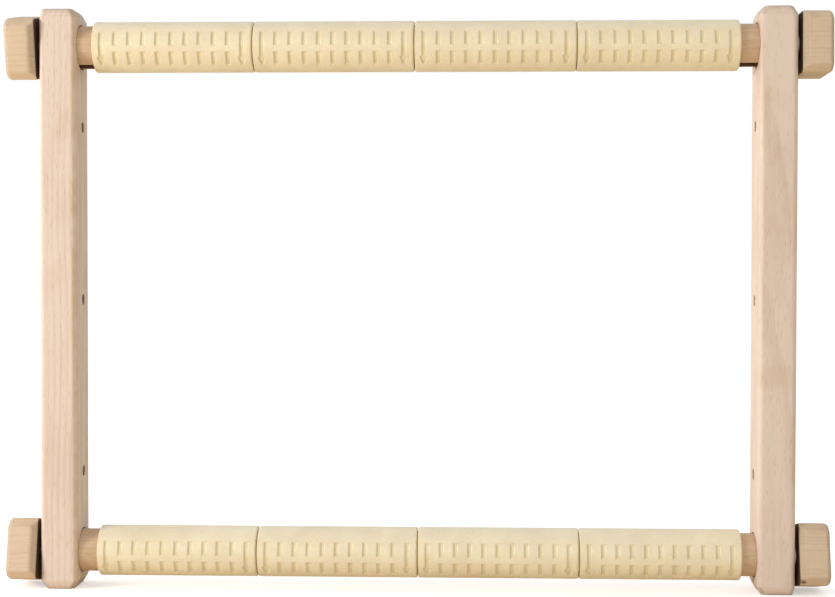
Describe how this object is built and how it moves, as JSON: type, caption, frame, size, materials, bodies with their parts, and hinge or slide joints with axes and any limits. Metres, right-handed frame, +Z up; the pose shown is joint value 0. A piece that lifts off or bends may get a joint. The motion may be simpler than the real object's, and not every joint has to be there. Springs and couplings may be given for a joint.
{
  "type": "embroidery scroll frame",
  "caption": "Hand embroidery scroll frame: wooden side bars, grooved turning rollers, push-on slotted plastic clips that grip the cloth, and wooden clamp knobs on threaded studs.",
  "frame": {"origin": "on the surface that the side bars' lower ends stand on, midway between them", "axes": "+X along the rollers to the right as seen from the front, -Y to the front where the clips' crowns face, +Z up along the side bars"},
  "size_m": [0.3832, 0.0326, 0.272],
  "materials": {
    "bar_wood": "sanded bare beech, fine straight grain along the bar",
    "roller_wood": "sanded bare beech dowel, slightly darker than the bars",
    "knob_wood": "sanded bare beech with bevelled edges",
    "clip_plastic": "pale cream moulded plastic, satin",
    "stud_steel": "zinc-plated thread",
    "washer_steel": "zinc-plated, satin",
    "insert_brass": "machined"
  },
  "bodies": {
    "side_bars": {"side_bar_left": "bar_wood", "side_bar_right": "bar_wood"},
    "top_roller": {"roller_top": "roller_wood", "stud_top_left": "stud_steel", "stud_top_right": "stud_steel"},
    "bottom_roller": {"roller_bottom": "roller_wood", "stud_bottom_left": "stud_steel", "stud_bottom_right": "stud_steel"},
    "top_left_washer": {"washer_top_left": "washer_steel"},
    "top_right_washer": {"washer_top_right": "washer_steel"},
    "bottom_left_washer": {"washer_bottom_left": "washer_steel"},
    "bottom_right_washer": {"washer_bottom_right": "washer_steel"},
    "top_left_knob": {"knob_top_left": "knob_wood", "insert_top_left": "insert_brass"},
    "top_right_knob": {"knob_top_right": "knob_wood", "insert_top_right": "insert_brass"},
    "bottom_left_knob": {"knob_bottom_left": "knob_wood", "insert_bottom_left": "insert_brass"},
    "bottom_right_knob": {"knob_bottom_right": "knob_wood", "insert_bottom_right": "insert_brass"},
    "top_clip_1": {"clip_top_1": "clip_plastic"},
    "top_clip_2": {"clip_top_2": "clip_plastic"},
    "top_clip_3": {"clip_top_3": "clip_plastic"},
    "top_clip_4": {"clip_top_4": "clip_plastic"},
    "bottom_clip_1": {"clip_bottom_1": "clip_plastic"},
    "bottom_clip_2": {"clip_bottom_2": "clip_plastic"},
    "bottom_clip_3": {"clip_bottom_3": "clip_plastic"},
    "bottom_clip_4": {"clip_bottom_4": "clip_plastic"}
  },
  "joints": [
    {"name": "top_roller_turn", "type": "hinge", "parent": "side_bars", "child": "top_roller", "pos_m": [0, 0, 0.255], "axis": [1, 0, 0], "continuous": true},
    {"name": "bottom_roller_turn", "type": "hinge", "parent": "side_bars", "child": "bottom_roller", "pos_m": [0, 0, 0.017], "axis": [1, 0, 0], "continuous": true},
    {"name": "top_left_knob_travel", "type": "slide", "parent": "top_roller", "child": "top_left_washer", "axis": [-1, 0, 0], "range_m": [0, 0.003]},
    {"name": "top_left_knob_turn", "type": "hinge", "parent": "top_left_washer", "child": "top_left_knob", "pos_m": [-0.17725, 0, 0.255], "axis": [-1, 0, 0], "range_deg": [0, 1080]},
    {"name": "top_right_knob_travel", "type": "slide", "parent": "top_roller", "child": "top_right_washer", "axis": [1, 0, 0], "range_m": [0, 0.003]},
    {"name": "top_right_knob_turn", "type": "hinge", "parent": "top_right_washer", "child": "top_right_knob", "pos_m": [0.17725, 0, 0.255], "axis": [1, 0, 0], "range_deg": [0, 1080]},
    {"name": "bottom_left_knob_travel", "type": "slide", "parent": "bottom_roller", "child": "bottom_left_washer", "axis": [-1, 0, 0], "range_m": [0, 0.003]},
    {"name": "bottom_left_knob_turn", "type": "hinge", "parent": "bottom_left_washer", "child": "bottom_left_knob", "pos_m": [-0.17725, 0, 0.017], "axis": [-1, 0, 0], "range_deg": [0, 1080]},
    {"name": "bottom_right_knob_travel", "type": "slide", "parent": "bottom_roller", "child": "bottom_right_washer", "axis": [1, 0, 0], "range_m": [0, 0.003]},
    {"name": "bottom_right_knob_turn", "type": "hinge", "parent": "bottom_right_washer", "child": "bottom_right_knob", "pos_m": [0.17725, 0, 0.017], "axis": [1, 0, 0], "range_deg": [0, 1080]},
    {"name": "top_clip_1_pull", "type": "slide", "parent": "top_roller", "child": "top_clip_1", "axis": [0, -0.9848, -0.1736], "range_m": [0, 0.03]},
    {"name": "top_clip_2_pull", "type": "slide", "parent": "top_roller", "child": "top_clip_2", "axis": [0, -0.9848, -0.1736], "range_m": [0, 0.03]},
    {"name": "top_clip_3_pull", "type": "slide", "parent": "top_roller", "child": "top_clip_3", "axis": [0, -0.9848, -0.1736], "range_m": [0, 0.03]},
    {"name": "top_clip_4_pull", "type": "slide", "parent": "top_roller", "child": "top_clip_4", "axis": [0, -0.9848, -0.1736], "range_m": [0, 0.03]},
    {"name": "bottom_clip_1_pull", "type": "slide", "parent": "bottom_roller", "child": "bottom_clip_1", "axis": [0, -0.9863, -0.165], "range_m": [0, 0.03]},
    {"name": "bottom_clip_2_pull", "type": "slide", "parent": "bottom_roller", "child": "bottom_clip_2", "axis": [0, -0.9863, -0.165], "range_m": [0, 0.03]},
    {"name": "bottom_clip_3_pull", "type": "slide", "parent": "bottom_roller", "child": "bottom_clip_3", "axis": [0, -0.9863, -0.165], "range_m": [0, 0.03]},
    {"name": "bottom_clip_4_pull", "type": "slide", "parent": "bottom_roller", "child": "bottom_clip_4", "axis": [0, -0.9863, -0.165], "range_m": [0, 0.03]}
  ],
  "couplings": [
    {"joint": "top_left_knob_travel", "follows": "top_left_knob_turn", "m_per_rad": 0.00015915},
    {"joint": "top_right_knob_travel", "follows": "top_right_knob_turn", "m_per_rad": 0.00015915},
    {"joint": "bottom_left_knob_travel", "follows": "bottom_left_knob_turn", "m_per_rad": 0.00015915},
    {"joint": "bottom_right_knob_travel", "follows": "bottom_right_knob_turn", "m_per_rad": 0.00015915}
  ]
}
